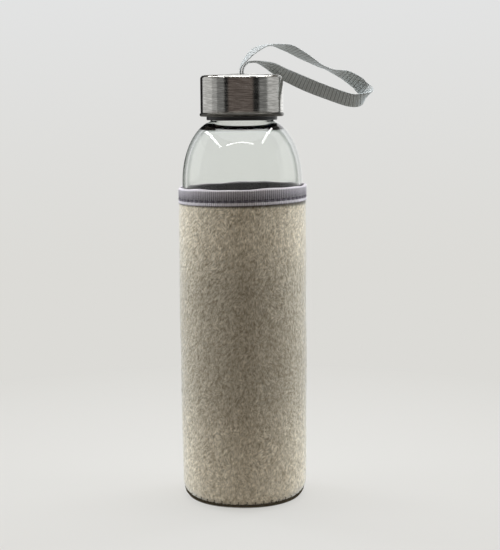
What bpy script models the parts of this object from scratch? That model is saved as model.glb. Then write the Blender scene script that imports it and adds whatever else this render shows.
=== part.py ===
"""Glass water bottle in a fitted plush sleeve, with a screw cap and a webbing carry strap.

A borosilicate bottle stands in a sewn sleeve and is closed by a brushed steel cap. The cap
is a thin steel shell pressed over a moulded liner, which carries the thread and the seal.
The strap's two ends pass through a hole in the cap and are knotted in a well of the liner.

Metres, +Z up. The origin is the centre of the sleeve's base, where the bottle stands.
"""

from math import cos, pi, radians, sin

import bmesh
import bpy
from mathutils import Vector

# ---- Driving dimensions -------------------------------------------------------------------
SEGMENTS = 36               # facets round every turned piece
FIT = 0.0003                # clearance between pieces that touch on the real object

BOTTLE_R = 0.0325           # outside of the glass body
GLASS_WALL = 0.0022
SHOULDER_Z = 0.174          # where the straight body ends and the shoulder begins
SHOULDER_RISE = 0.0335
SHOULDER_RUN = 0.0199
NECK_R = 0.0169             # neck between its threads
NECK_ROOT_Z = 0.2063        # where the shoulder turns up into the neck
MOUTH_R = 0.0145
THROAT = [(0.0145, 0.2046), (0.0150, 0.2032), (0.0165, 0.2022), (0.0190, 0.2018)]   # (r, z) inside
LIP_Z = 0.2262
GLASS_FOOT_Z = 0.0027       # the flat ring that the glass stands on
GLASS_HEEL_R = 0.006

SLEEVE_R = 0.03475          # widest, half way up
SLEEVE_PINCH = 0.00055      # how much narrower it is at its ends
SLEEVE_MID_Z = 0.095
HEEL_Z = 0.009
SLEEVE_TOP_Z = 0.1706
BINDING_Z = (0.1633, 0.1718)
BINDING_R = 0.03475
STITCH_Z = 0.1656
BASE_R = 0.0297
BASE_THICK = 0.0024
HEEL_CENTRE = (0.0282, HEEL_Z)
HEEL_END = -55              # degrees round the heel to the base seam
LINING_R = (BOTTLE_R + FIT, BOTTLE_R + 0.0009)
COVER_BORE_R = LINING_R[1] + FIT
TUCK_R = (COVER_BORE_R - FIT, COVER_BORE_R + 0.0002)   # cover where the binding grips it
NIP_Z = BINDING_Z[0] - 0.0008

CAP_R = 0.0223
CAP_Z = (0.2091, 0.2311)
CAP_SHEET = 0.0005          # steel thickness
CAP_CORNER = 0.002
CAP_RIM_R = 0.0228
CAP_RIM_TALL = 0.0021
BOSS_R = (0.0056, 0.0105)
BOSS_TALL = 0.0008
STRAP_HOLE_R = 0.0046
LINER_R = 0.0215
LINER_SKIRT_R = 0.0191      # its plain skirt, which shows under the steel rim
LINER_SKIRT_Z = 0.2072
LINER_BORE_R = 0.0181
WELL_R = 0.008
WELL_FLOOR_Z = 0.224

THREAD_LEAD = 0.0042
THREAD_START_Z = 0.213
THREAD_TURNS = 1.25
THREAD_RUNOUT = radians(30)  # angle over which a thread fades in and out
NECK_THREAD_R = 0.0178      # crest of the thread on the glass
LINER_THREAD_R = 0.01735    # crest of the thread inside the cap

STRAP_WIDE = 0.008
STRAP_THICK = 0.001
STRAP_PIVOT_Z = 0.2336
STRAP_STEP = 0.0024         # spacing of the cross-sections along the strap

# The strap's centre line from the hole, out along the lower run and back along the upper
# one. Each point has the direction of the webbing's front edge, seen from its middle.
STRAP_ROUTE = [
    ((0.00065, 0.0, 0.2315), (0, -1, 0)),
    ((0.0008, 0.0001, 0.2336), (0, -1, 0)),
    ((0.0016, 0.0004, 0.2359), (0, -1, 0)),
    ((0.0036, 0.0012, 0.2377), (0, -1, 0)),
    ((0.0066, 0.0023, 0.2382), (0, -1, 0.03)),
    ((0.0100, 0.0038, 0.2380), (0.03, -0.99, 0.10)),
    ((0.0124, 0.0056, 0.2374), (0.08, -0.95, 0.26)),
    ((0.0153, 0.0077, 0.2362), (0.17, -0.87, 0.45)),
    ((0.0185, 0.0097, 0.2344), (0.26, -0.75, 0.61)),
    ((0.0225, 0.0112, 0.2320), (0.29, -0.61, 0.74)),
    ((0.0270, 0.0127, 0.2299), (0.29, -0.50, 0.82)),
    ((0.0365, 0.0150, 0.2257), (0.33, -0.35, 0.88)),
    ((0.0468, 0.0164, 0.2217), (0.29, -0.37, 0.88)),
    ((0.0570, 0.0173, 0.2181), (0.23, -0.38, 0.90)),
    ((0.0619, 0.0178, 0.2171), (0.20, -0.38, 0.90)),
    ((0.0657, 0.0187, 0.2174), (0.38, -0.33, 0.86)),
    ((0.0688, 0.0204, 0.2190), (0.60, -0.22, 0.77)),
    ((0.0702, 0.0228, 0.2208), (0.72, -0.06, 0.69)),
    ((0.0700, 0.0255, 0.2220), (0.72, -0.08, 0.69)),
    ((0.0687, 0.0272, 0.2231), (0.70, -0.20, 0.69)),
    ((0.0669, 0.0280, 0.2247), (0.66, -0.25, 0.70)),
    ((0.0650, 0.0283, 0.2268), (0.58, -0.36, 0.73)),
    ((0.0586, 0.0276, 0.2309), (0.42, -0.69, 0.58)),
    ((0.0548, 0.0266, 0.2323), (0.28, -0.87, 0.38)),
    ((0.0510, 0.0253, 0.2335), (0.14, -0.97, 0.18)),
    ((0.0473, 0.0239, 0.2349), (0.05, -1.00, 0.10)),
    ((0.0425, 0.0219, 0.2368), (0.09, -0.98, 0.16)),
    ((0.0343, 0.0173, 0.2413), (0.23, -0.89, 0.38)),
    ((0.0271, 0.0130, 0.2451), (0.25, -0.86, 0.44)),
    ((0.0231, 0.0106, 0.2464), (0.15, -0.93, 0.32)),
    ((0.0196, 0.0082, 0.2471), (0.03, -0.99, 0.12)),
    ((0.0155, 0.0059, 0.2472), (0.0, -1.00, -0.02)),
    ((0.0118, 0.0040, 0.2465), (0.12, -0.97, -0.16)),
    ((0.0079, 0.0024, 0.2446), (0.22, -0.92, -0.30)),
    ((0.0046, 0.0011, 0.2418), (0.28, -0.94, -0.20)),
    ((0.0018, 0.0004, 0.2386), (0.25, -0.96, -0.05)),
    ((0.0001, 0.0001, 0.2362), (0.1, -0.99, 0)),
    ((-0.0006, 0.0, 0.2340), (0, -1, 0)),
    ((-0.00065, 0.0, 0.2315), (0, -1, 0)),
]


# ---- Modelling helpers --------------------------------------------------------------------
def arc(centre, radii, start, end, steps):
    """Points (r, z) along an ellipse from one angle to another, in degrees."""
    angles = [radians(start + (end - start) * i / steps) for i in range(steps + 1)]
    return [(centre[0] + radii[0] * cos(a), centre[1] + radii[1] * sin(a)) for a in angles]


def material(name, colour, roughness, metallic=0.0, alpha=1.0):
    """A Principled material in one linear colour."""
    made = bpy.data.materials.new(name)
    made.use_nodes = True
    shader = made.node_tree.nodes["Principled BSDF"]
    shader.inputs["Base Color"].default_value = (*colour, 1.0)
    shader.inputs["Roughness"].default_value = roughness
    shader.inputs["Metallic"].default_value = metallic
    shader.inputs["Alpha"].default_value = alpha
    return made


def add(name, bm, finish, origin=(0.0, 0.0, 0.0)):
    """Turns a bmesh into a named object whose origin is at the given point."""
    bmesh.ops.remove_doubles(bm, verts=bm.verts, dist=1e-7)
    bmesh.ops.recalc_face_normals(bm, faces=bm.faces)
    bmesh.ops.translate(bm, verts=bm.verts, vec=-Vector(origin))
    mesh = bpy.data.meshes.new(name)
    bm.to_mesh(mesh)
    bm.free()
    mesh.shade_smooth()
    mesh.set_sharp_from_angle(angle=radians(35))
    mesh.materials.append(finish)
    made = bpy.data.objects.new(name, mesh)
    made.location = origin
    bpy.context.scene.collection.objects.link(made)
    return made


def turned(name, outline, finish, origin=(0.0, 0.0, 0.0)):
    """Spins a closed outline of (r, z) points round the Z axis."""
    bm = bmesh.new()
    verts = [bm.verts.new((r, 0.0, z)) for r, z in outline]
    edges = [bm.edges.new((a, b)) for a, b in zip(verts, verts[1:] + verts[:1])]
    bmesh.ops.spin(
        bm, geom=edges, cent=(0, 0, 0), axis=(0, 0, 1), angle=2 * pi,
        steps=SEGMENTS, use_merge=True,
    )
    bmesh.ops.remove_doubles(bm, verts=bm.verts, dist=1e-7)
    on_axis = [e for e in bm.edges if len(e.link_faces) == 0]
    bmesh.ops.delete(bm, geom=on_axis, context="EDGES")
    return add(name, bm, finish, origin)


def lofted(rings):
    """Joins rings of points, each with as many points, and closes both ends."""
    bm = bmesh.new()
    loops = [[bm.verts.new(p) for p in ring] for ring in rings]
    count = len(loops[0])
    for lower, upper in zip(loops, loops[1:]):
        for i in range(count):
            j = (i + 1) % count
            bm.faces.new((lower[i], lower[j], upper[j], upper[i]))
    bm.faces.new(list(reversed(loops[0])))
    bm.faces.new(loops[-1])
    return bm


def thread_ridge(name, root_r, crest_r, start_z, turns, root_half, crest_half, finish):
    """A right-hand helical ridge whose root is sunk in a wall and whose ends fade out."""
    sunk = 0.0005 if root_r < crest_r else -0.0005
    steps = round(turns * SEGMENTS)
    rings = []
    for i in range(steps + 1):
        angle = 2 * pi * i / SEGMENTS
        from_end = min(angle, 2 * pi * turns - angle)
        grown = 0.2 + 0.8 * min(1.0, from_end / THREAD_RUNOUT)
        crest = root_r + (crest_r - root_r) * grown
        middle = start_z + THREAD_LEAD * angle / (2 * pi)
        section = [
            (root_r - sunk, middle - root_half),
            (crest, middle - crest_half),
            (crest, middle + crest_half),
            (root_r - sunk, middle + root_half),
        ]
        rings.append([(r * cos(angle), r * sin(angle), z) for r, z in section])
    ridge = add(name, lofted(rings), finish)
    ridge.hide_render = True
    ridge.display_type = "WIRE"
    return ridge


def union(target, extra):
    """Joins an extra shape to a piece, which stays one solid."""
    join = target.modifiers.new(extra.name, "BOOLEAN")
    join.operation = "UNION"
    join.solver = "EXACT"
    join.object = extra


# ---- Sleeve: cover, lining, seam, base, binding and threads -------------------------------
def cover_radius(z):
    """Outside of the plush, which is a little fuller half way up."""
    return SLEEVE_R - SLEEVE_PINCH * ((z - SLEEVE_MID_Z) / (SLEEVE_MID_Z - HEEL_Z)) ** 2


def sleeve_cover(finish):
    """Plush tube, curled in at the heel, with its top edge tucked into the binding."""
    bore = COVER_BORE_R - HEEL_CENTRE[0]
    heights = [HEEL_Z + (NIP_Z - HEEL_Z) * i / 6 for i in range(1, 7)]
    outline = arc(HEEL_CENTRE, (0.006, 0.008), HEEL_END, 0, 5)
    outline += [(cover_radius(z), z) for z in heights]
    outline += [(TUCK_R[1], BINDING_Z[0]), (TUCK_R[1], SLEEVE_TOP_Z)]
    outline += [(TUCK_R[0], SLEEVE_TOP_Z), (TUCK_R[0], NIP_Z + 0.0004)]
    outline += [(COVER_BORE_R, NIP_Z - 0.0003)]
    outline += arc(HEEL_CENTRE, (bore, 0.0072), 0, HEEL_END, 5)
    return turned("sleeve_cover", outline, finish)


def sleeve_lining(finish):
    """Thin foam lining, a sheet whose two edges meet at the seam behind."""
    slit = radians(2.35)
    centre_r = HEEL_CENTRE[0]
    outer, inner = LINING_R[1] - centre_r, LINING_R[0] - centre_r
    top_z = BINDING_Z[1] - 0.0052
    outline = arc(HEEL_CENTRE, (outer, 0.0069), -45, 0, 3)
    outline += [(LINING_R[1], NIP_Z - 0.0003), (LINING_R[1] - FIT, NIP_Z + 0.0003)]
    outline += [(LINING_R[1] - FIT, top_z), (LINING_R[0], top_z)]
    outline += arc(HEEL_CENTRE, (inner, 0.0063), 0, -45, 3)
    span = 2 * pi - 2 * slit
    rings = []
    for i in range(SEGMENTS + 1):
        angle = pi / 2 + slit + span * i / SEGMENTS
        rings.append([(r * cos(angle), r * sin(angle), z) for r, z in outline])
    return add("sleeve_lining", lofted(rings), finish)


def side_seam_thread(finish):
    """Flat seam stitching that joins the lining's edges, up the back of the sleeve."""
    half_wide, low, high = 0.001, HEEL_Z + 0.001, NIP_Z - 0.0007
    near, far = LINING_R[0] + 0.00005, LINING_R[1] - 0.00005
    corners = [(-half_wide, near), (half_wide, near), (half_wide, far), (-half_wide, far)]
    rings = [[(x, y, z) for x, y in corners] for z in (low, high)]
    return add("side_seam_thread", lofted(rings), finish)


def base_disc(finish):
    """Foam disc that closes the sleeve below and carries the glass."""
    bevel = 0.0005
    outline = [(0, 0), (BASE_R - bevel, 0), (BASE_R, bevel), (BASE_R, BASE_THICK), (0, BASE_THICK)]
    return turned("base_disc", outline, finish)


def base_overlock(finish):
    """Overlock stitching that joins the base to the cover, a thick ring of thread."""
    roll = 0.001
    centre = (BASE_R + FIT + roll, roll + 0.00025)
    return turned("base_overlock", arc(centre, (roll, roll), 30, 330, 5), finish)


def edge_binding(finish):
    """Folded tape over the sleeve's top edge, with a long leg outside and a short one in."""
    low, top = BINDING_Z
    leg, inside, groove = BINDING_R - 0.0006, BOTTLE_R + FIT, 0.0004
    ridge_r = (inside + BINDING_R) / 2
    outline = [(leg, low), (BINDING_R, low), (BINDING_R, STITCH_Z - 0.001)]
    outline += [(BINDING_R - groove, STITCH_Z - 0.0006), (BINDING_R - groove, STITCH_Z + 0.0006)]
    outline += [(BINDING_R, STITCH_Z + 0.001), (BINDING_R, top - 0.0009)]
    outline += arc((ridge_r, top - 0.0009), (BINDING_R - ridge_r, 0.0009), 36, 180, 4)
    outline += [(inside, top - 0.0048), (inside + FIT, top - 0.0048), (inside + FIT, top - 0.0009)]
    outline += [(ridge_r - 0.0003, top - 0.0006), (ridge_r + 0.0001, top - 0.0006)]
    outline += [(leg, top - 0.0009)]
    return turned("edge_binding", outline, finish)


def binding_stitch(finish):
    """Row of lockstitch that holds the binding, lying in the groove that it pulls."""
    near, far = BINDING_R - 0.00008, BINDING_R + 0.0002
    low, high = STITCH_Z - 0.00025, STITCH_Z + 0.00025
    return turned("binding_stitch", [(near, low), (far, low), (far, high), (near, high)], finish)


# ---- Glass bottle -------------------------------------------------------------------------
def glass_bottle(finish):
    """Blown body with a domed foot and a long shoulder, thick where the threaded neck begins."""
    heel_c = (BOTTLE_R - GLASS_HEEL_R, GLASS_FOOT_Z + GLASS_HEEL_R)
    shoulder_c = (BOTTLE_R - SHOULDER_RUN, SHOULDER_Z)
    inner_r = BOTTLE_R - GLASS_WALL
    inner_heel = 0.0045
    inner_c = (inner_r - inner_heel, GLASS_FOOT_Z + 0.0078)
    inner_run = SHOULDER_RUN - GLASS_WALL
    lip = 0.0009

    outline = [(0, 0.0062), (0.011, 0.0057), (0.019, 0.0039), (0.0235, GLASS_FOOT_Z)]
    outline += arc(heel_c, (GLASS_HEEL_R, GLASS_HEEL_R), -90, 0, 5)
    outline += arc(shoulder_c, (SHOULDER_RUN, SHOULDER_RISE), 0, 70, 9)
    outline += [(NECK_R + 0.0008, NECK_ROOT_Z), (NECK_R, NECK_ROOT_Z + 0.0008)]
    outline += arc((NECK_R - lip, LIP_Z - lip), (lip, lip), 0, 90, 2)
    outline += arc((MOUTH_R + lip, LIP_Z - lip), (lip, lip), 90, 180, 2)
    outline += THROAT + arc(shoulder_c, (inner_run, SHOULDER_RISE - GLASS_WALL), 61, 0, 7)
    outline += arc(inner_c, (inner_heel, inner_heel), 0, -90, 3)
    outline += [(0.022, 0.0066), (0.012, 0.0086), (0, 0.0092)]
    body = turned("glass_bottle", outline, finish)
    ridge = thread_ridge(
        "neck_thread", NECK_R, NECK_THREAD_R, THREAD_START_Z, THREAD_TURNS, 0.001, 0.0005, finish,
    )
    union(body, ridge)
    return body


# ---- Cap: shell, liner and gasket ---------------------------------------------------------
def cap_shell(finish):
    """Deep-drawn steel shell with a rolled rim, a low boss and the strap's hole."""
    low, top = CAP_Z
    corner_c = (CAP_R - CAP_CORNER, top - CAP_CORNER)
    bore_r = CAP_R - CAP_SHEET
    inner_corner = CAP_CORNER - CAP_SHEET
    rim_half = CAP_RIM_TALL / 2
    outline = [(STRAP_HOLE_R, top + BOSS_TALL), (BOSS_R[0], top + BOSS_TALL), (BOSS_R[1], top)]
    outline += arc(corner_c, (CAP_CORNER, CAP_CORNER), 90, 0, 4)
    outline += [(CAP_R, low + CAP_RIM_TALL + 0.0003)]
    outline += arc((CAP_R, low + rim_half), (CAP_RIM_R - CAP_R, rim_half), 60, -90, 4)
    outline += [(bore_r, low)]
    outline += arc(corner_c, (inner_corner, inner_corner), 0, 90, 3)
    boss_under = top + BOSS_TALL - CAP_SHEET
    outline += [(BOSS_R[1] - 0.0002, top - CAP_SHEET), (BOSS_R[0] - 0.0002, boss_under)]
    outline += [(STRAP_HOLE_R, boss_under)]
    return turned("cap_shell", outline, finish, (0, 0, CAP_Z[0]))


def cap_liner(finish):
    """Moulded liner: skirt with the inside thread, roof, and the well for the strap's knot."""
    low, top = CAP_Z[0] + 0.0004, CAP_Z[1] - CAP_SHEET - FIT
    well_wall, roof = 0.0012, 0.002
    outline = [(LINER_SKIRT_R, LINER_SKIRT_Z), (LINER_SKIRT_R, low), (LINER_R, low)]
    outline += [(LINER_R, top - 0.0014), (LINER_R - 0.0013, top), (WELL_R, top)]
    outline += [(WELL_R, WELL_FLOOR_Z), (0, WELL_FLOOR_Z), (0, WELL_FLOOR_Z - well_wall)]
    outline += [(WELL_R + well_wall, WELL_FLOOR_Z - well_wall), (WELL_R + well_wall, top - roof)]
    outline += [(LINER_BORE_R, top - roof), (LINER_BORE_R, LINER_SKIRT_Z)]
    liner = turned("cap_liner", outline, finish, (0, 0, CAP_Z[0]))
    ridge = thread_ridge(
        "liner_thread", LINER_BORE_R, LINER_THREAD_R, THREAD_START_Z - THREAD_LEAD / 2 + 0.0001,
        THREAD_TURNS + 0.25, 0.0007, 0.0004, finish,
    )
    union(liner, ridge)
    return liner


def gasket(finish):
    """Flat silicone ring that seals the lip of the glass."""
    low, high = LIP_Z + FIT, LIP_Z + 0.0017
    inner, outer, bevel = MOUTH_R - 0.0005, NECK_R + 0.0008, 0.0003
    outline = [(inner, low), (outer, low), (outer, high - bevel), (outer - bevel, high), (inner, high)]
    return turned("gasket", outline, finish, (0, 0, CAP_Z[0]))


# ---- Strap: knot and loop -----------------------------------------------------------------
def strap_knot(finish):
    """The strap's ends, knotted in the liner's well, with both tails up in the hole."""
    tail = (STRAP_THICK + FIT / 2, 0.0037)
    sections = [
        (WELL_FLOOR_Z + FIT, 0.003, 0.0036),
        (WELL_FLOOR_Z + 0.001, 0.0046, 0.0054),
        (WELL_FLOOR_Z + 0.0026, 0.0056, 0.0066),
        (WELL_FLOOR_Z + 0.0042, 0.0049, 0.006),
        (WELL_FLOOR_Z + 0.0054, 0.003, 0.0044),
        (WELL_FLOOR_Z + 0.006, *tail),
        (CAP_Z[1] - 0.0002, *tail),
    ]
    rings = []
    for z, half_x, half_y in sections:
        angles = [2 * pi * i / 16 for i in range(16)]
        rings.append([(half_x * cos(a), half_y * sin(a), z) for a in angles])
    return add("strap_knot", lofted(rings), finish, (0, 0, STRAP_PIVOT_Z))


def smooth_route(route, step):
    """Places and edge directions at an even spacing on a Catmull-Rom curve through a route."""
    knots = [(*place, *edge) for place, edge in route]
    knots = [knots[0]] + knots + [knots[-1]]
    fine = []
    for a, b, c, d in zip(knots, knots[1:], knots[2:], knots[3:]):
        for i in range(12):
            t = i / 12
            fine.append([
                q + 0.5 * t * (r - p + t * (2 * p - 5 * q + 4 * r - s + t * (3 * (q - r) + s - p)))
                for p, q, r, s in zip(a, b, c, d)
            ])
    fine.append(list(knots[-2]))
    spaced = [fine[0]]
    for point in fine[1:]:
        if (Vector(point[:3]) - Vector(spaced[-1][:3])).length >= step:
            spaced.append(point)
    spaced[-1] = fine[-1]
    return [(Vector(p[:3]), Vector(p[3:])) for p in spaced]


def strap_loop(finish):
    """One length of flat webbing that leaves the hole, turns back and returns to it."""
    points = smooth_route(STRAP_ROUTE, STRAP_STEP)
    rings = []
    for i, (centre, edge) in enumerate(points):
        before, after = points[max(i - 1, 0)][0], points[min(i + 1, len(points) - 1)][0]
        along = (after - before).normalized()
        if i in (0, len(points) - 1):
            along = Vector((0, 0, 1 if i == 0 else -1))
        across = (edge - along * along.dot(edge)).normalized() * STRAP_WIDE / 2
        face = along.cross(across).normalized() * STRAP_THICK / 2
        rings.append([
            centre - across - face, centre + across - face,
            centre + across + face, centre - across + face,
        ])
    return add("strap_loop", lofted(rings), finish, (0, 0, STRAP_PIVOT_Z))


# ---- Assembly -----------------------------------------------------------------------------
for old in list(bpy.data.objects):
    bpy.data.objects.remove(old)

plush = material("plush_velour", (0.50, 0.46, 0.38), 0.95)
foam = material("dark_foam", (0.035, 0.034, 0.036), 0.9)
tape = material("mauve_binding_tape", (0.16, 0.14, 0.16), 0.8)
thread = material("polyester_thread", (0.06, 0.055, 0.06), 0.7)
glass = material("borosilicate_glass", (0.9, 0.95, 0.93), 0.02, alpha=0.35)
steel = material("brushed_stainless", (0.55, 0.54, 0.51), 0.3, metallic=1.0)
moulded = material("black_polypropylene", (0.02, 0.02, 0.02), 0.45)
silicone = material("clear_silicone", (0.7, 0.7, 0.68), 0.4)
webbing = material("grey_webbing", (0.30, 0.33, 0.32), 0.7)

sleeve_cover(plush)
sleeve_lining(foam)
side_seam_thread(thread)
base_disc(foam)
base_overlock(thread)
edge_binding(tape)
binding_stitch(thread)
glass_bottle(glass)
cap_shell(steel)
cap_liner(moulded)
gasket(silicone)
strap_knot(webbing)
strap_loop(webbing)
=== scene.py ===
from math import cos, pi, radians, sin, tau

import bmesh
import bpy
import numpy as np
from mathutils import Matrix, Vector


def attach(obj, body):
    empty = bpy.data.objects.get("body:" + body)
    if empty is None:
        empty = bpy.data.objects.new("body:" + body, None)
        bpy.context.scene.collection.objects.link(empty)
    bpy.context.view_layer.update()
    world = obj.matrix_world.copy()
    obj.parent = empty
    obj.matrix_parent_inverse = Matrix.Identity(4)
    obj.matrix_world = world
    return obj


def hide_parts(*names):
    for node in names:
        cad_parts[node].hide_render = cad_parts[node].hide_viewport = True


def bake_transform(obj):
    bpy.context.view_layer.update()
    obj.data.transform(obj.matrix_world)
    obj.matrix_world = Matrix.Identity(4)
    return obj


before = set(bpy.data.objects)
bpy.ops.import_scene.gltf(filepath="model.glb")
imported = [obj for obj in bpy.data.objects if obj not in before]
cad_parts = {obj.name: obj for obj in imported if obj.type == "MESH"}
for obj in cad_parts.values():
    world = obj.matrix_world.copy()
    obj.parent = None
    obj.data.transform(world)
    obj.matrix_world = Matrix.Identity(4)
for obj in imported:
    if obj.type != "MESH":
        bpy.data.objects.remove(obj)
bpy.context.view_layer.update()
scene = bpy.context.scene
scene.view_settings.view_transform = "Standard"


# ---- Camera ---------------------------------------------------------------------------------
# A short telephoto stands 0.7 m in front of the bottle, at the height of the cap, and looks a
# little down on it.
camera_lens = bpy.data.cameras.new("camera")
camera_lens.lens = 84.24
camera_lens.sensor_width = 36
camera_lens.clip_start = 0.05
camera_lens.clip_end = 20
camera = bpy.data.objects.new("camera", camera_lens)
camera.matrix_world = (
    Matrix.Translation((0, -0.700, 0.218))
    @ Matrix.Rotation(radians(-0.31), 4, "Z")
    @ Matrix.Rotation(radians(90 - 7.76), 4, "X")
    @ Matrix.Rotation(radians(-0.39), 4, "Z")
)
scene.collection.objects.link(camera)
scene.camera = camera


# ---- Carry strap ----------------------------------------------------------------------------
# Grosgrain webbing 8 mm wide, woven from polyester with thick weft ribs across it. One length
# is folded in two, and both of its ends go down through the hole in the cap to a knot.
STRAP_WIDE = 0.008
STRAP_THICK = 0.001
RIB_PITCH = 0.00104

# The middle of the webbing, with the direction from there to its front edge.
STRAP_ROUTE = [
    ((0.00065, 0.0, 0.2315), (0, -1, 0)),
    ((0.0008, 0.0001, 0.2336), (0, -1, 0)),
    ((0.0016, 0.0004, 0.2359), (0, -1, 0)),
    ((0.0036, 0.0012, 0.2377), (0, -1, 0)),
    ((0.0066, 0.0023, 0.2382), (0, -1, 0.03)),
    ((0.0100, 0.0038, 0.2380), (0.03, -0.99, 0.10)),
    ((0.0124, 0.0056, 0.2374), (0.08, -0.95, 0.26)),
    ((0.0153, 0.0077, 0.2362), (0.17, -0.87, 0.45)),
    ((0.0185, 0.0097, 0.2344), (0.26, -0.75, 0.61)),
    ((0.0225, 0.0112, 0.2320), (0.29, -0.61, 0.74)),
    ((0.0270, 0.0127, 0.2299), (0.29, -0.50, 0.82)),
    ((0.0365, 0.0150, 0.2257), (0.33, -0.35, 0.88)),
    ((0.0468, 0.0164, 0.2217), (0.29, -0.37, 0.88)),
    ((0.0570, 0.0173, 0.2181), (0.23, -0.38, 0.90)),
    ((0.0619, 0.0178, 0.2171), (0.20, -0.38, 0.90)),
    ((0.0657, 0.0187, 0.2174), (0.38, -0.33, 0.86)),
    ((0.0688, 0.0204, 0.2190), (0.60, -0.22, 0.77)),
    ((0.0702, 0.0228, 0.2208), (0.72, -0.06, 0.69)),
    ((0.0700, 0.0255, 0.2220), (0.72, -0.08, 0.69)),
    ((0.0687, 0.0272, 0.2231), (0.70, -0.20, 0.69)),
    ((0.0669, 0.0280, 0.2247), (0.66, -0.25, 0.70)),
    ((0.0650, 0.0283, 0.2268), (0.58, -0.36, 0.73)),
    ((0.0586, 0.0276, 0.2309), (0.42, -0.69, 0.58)),
    ((0.0548, 0.0266, 0.2323), (0.28, -0.87, 0.38)),
    ((0.0510, 0.0253, 0.2335), (0.14, -0.97, 0.18)),
    ((0.0473, 0.0239, 0.2349), (0.05, -1.00, 0.10)),
    ((0.0425, 0.0219, 0.2368), (0.09, -0.98, 0.16)),
    ((0.0343, 0.0173, 0.2413), (0.23, -0.89, 0.38)),
    ((0.0271, 0.0130, 0.2451), (0.25, -0.86, 0.44)),
    ((0.0231, 0.0106, 0.2464), (0.15, -0.93, 0.32)),
    ((0.0196, 0.0082, 0.2471), (0.03, -0.99, 0.12)),
    ((0.0155, 0.0059, 0.2472), (0.0, -1.00, -0.02)),
    ((0.0118, 0.0040, 0.2465), (0.12, -0.97, -0.16)),
    ((0.0079, 0.0024, 0.2446), (0.22, -0.92, -0.30)),
    ((0.0046, 0.0011, 0.2418), (0.28, -0.94, -0.20)),
    ((0.0018, 0.0004, 0.2386), (0.25, -0.96, -0.05)),
    ((0.0001, 0.0001, 0.2362), (0.1, -0.99, 0)),
    ((-0.0006, 0.0, 0.2340), (0, -1, 0)),
    ((-0.00065, 0.0, 0.2315), (0, -1, 0)),
]


def linear(colour):
    """An sRGB hex colour as the linear RGBA that shaders take."""
    parts = [int(colour[i:i + 2], 16) / 255 for i in (0, 2, 4)]
    return (*[c / 12.92 if c <= 0.04045 else ((c + 0.055) / 1.055) ** 2.4 for c in parts], 1)


def put(tree, kind, inputs=(), **settings):
    """Adds a shader node. An input takes a value or another node's output."""
    made = tree.nodes.new(kind)
    for name, value in settings.items():
        setattr(made, name, value)
    for key, value in dict(inputs).items():
        if isinstance(value, bpy.types.NodeSocket):
            tree.links.new(value, made.inputs[key])
        else:
            made.inputs[key].default_value = value
    return made


def new_finish(name):
    """An empty material with its tree and its output node."""
    made = bpy.data.materials.new(name)
    made.use_nodes = True
    made.node_tree.nodes.clear()
    return made, made.node_tree, put(made.node_tree, "ShaderNodeOutputMaterial")


def skin(name, rings, finish, ring_closed=True, run_closed=False, ends=False, finish_levels=None):
    """A piece skinned with quads over rings that have as many points each. A number for each
    point, such as how high it stands in a weave, goes with it for its finish to read."""
    rings = np.asarray(rings, float)
    count, size = rings.shape[:2]
    row, column = np.meshgrid(
        np.arange(count if run_closed else count - 1),
        np.arange(size if ring_closed else size - 1), indexing="ij",
    )
    above, beside = (row + 1) % count * size, (column + 1) % size
    quads = np.stack([row * size + column, row * size + beside, above + beside, above + column], -1)
    faces = quads.reshape(-1, 4).tolist()
    if ends:
        faces += [list(range(size))[::-1], list(range((count - 1) * size, count * size))]
    mesh = bpy.data.meshes.new(name)
    mesh.from_pydata(rings.reshape(-1, 3).tolist(), [], faces)
    if finish_levels is not None:
        mesh.attributes.new("relief", "FLOAT", "POINT").data.foreach_set("value", finish_levels.ravel())
    bm = bmesh.new()
    bm.from_mesh(mesh)
    bmesh.ops.remove_doubles(bm, verts=bm.verts, dist=1e-7)
    bmesh.ops.recalc_face_normals(bm, faces=bm.faces)
    bm.to_mesh(mesh)
    bm.free()
    mesh.shade_smooth()
    mesh.materials.append(finish)
    piece = bpy.data.objects.new(name, mesh)
    scene.collection.objects.link(piece)
    return piece


def smooth_route(route, step):
    """Rows of numbers at an even spacing of their first three, on a curve through a route."""
    knots = np.array([[*place, *edge] for place, edge in route], float)
    knots = np.vstack([knots[:1], knots, knots[-1:]])
    fine = []
    for before, here, there, after in zip(knots, knots[1:], knots[2:], knots[3:]):
        for t in np.arange(0, 1, 0.02):
            bend = 2 * before - 5 * here + 4 * there - after
            fine.append(here + 0.5 * t * (
                there - before + t * (bend + t * (3 * (here - there) + after - before))
            ))
    fine = np.array([*fine, knots[-1]])
    run = np.concatenate([[0], np.cumsum(np.linalg.norm(np.diff(fine[:, :3], axis=0), axis=1))])
    places = np.linspace(0, run[-1], round(run[-1] / step))
    return places, np.stack([np.interp(places, run, column) for column in fine.T], 1)


def unit(vectors):
    """Vectors scaled to a length of one."""
    return vectors / np.linalg.norm(vectors, axis=-1, keepdims=True)


def ribbed_band(run, middle, edge, wide, thick):
    """Cross-sections of webbing along a line: rounded selvedges, and a rib at each weft."""
    along = unit(np.gradient(middle, axis=0))
    across = unit(edge - along * (along * edge).sum(1, keepdims=True))
    face = np.cross(along, across)
    spread = np.sin(np.linspace(-pi / 2, pi / 2, 15))
    side = np.concatenate([spread, spread[-2:0:-1]])
    up = np.concatenate([np.ones(15), -np.ones(13)])
    up[[0, 14]] = 0
    phase = pi * (run[:, None] / RIB_PITCH + 0.25 * side[None, :])
    rib = 0.5 * np.abs(np.sin(phase / 2)) ** 0.4 + 0.5 * np.abs(np.sin(phase)) ** 0.5
    selvedge = (1 - np.abs(side) ** 6)[None, :]
    height = thick / 2 * (0.55 + 0.45 * rib) * (0.35 + 0.65 * selvedge) * up[None, :]
    half = wide / 2 * (0.955 + 0.045 * rib) * side[None, :]
    rings = middle[:, None, :] + half[..., None] * across[:, None, :] + height[..., None] * face[:, None, :]
    return rings, rib


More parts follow.
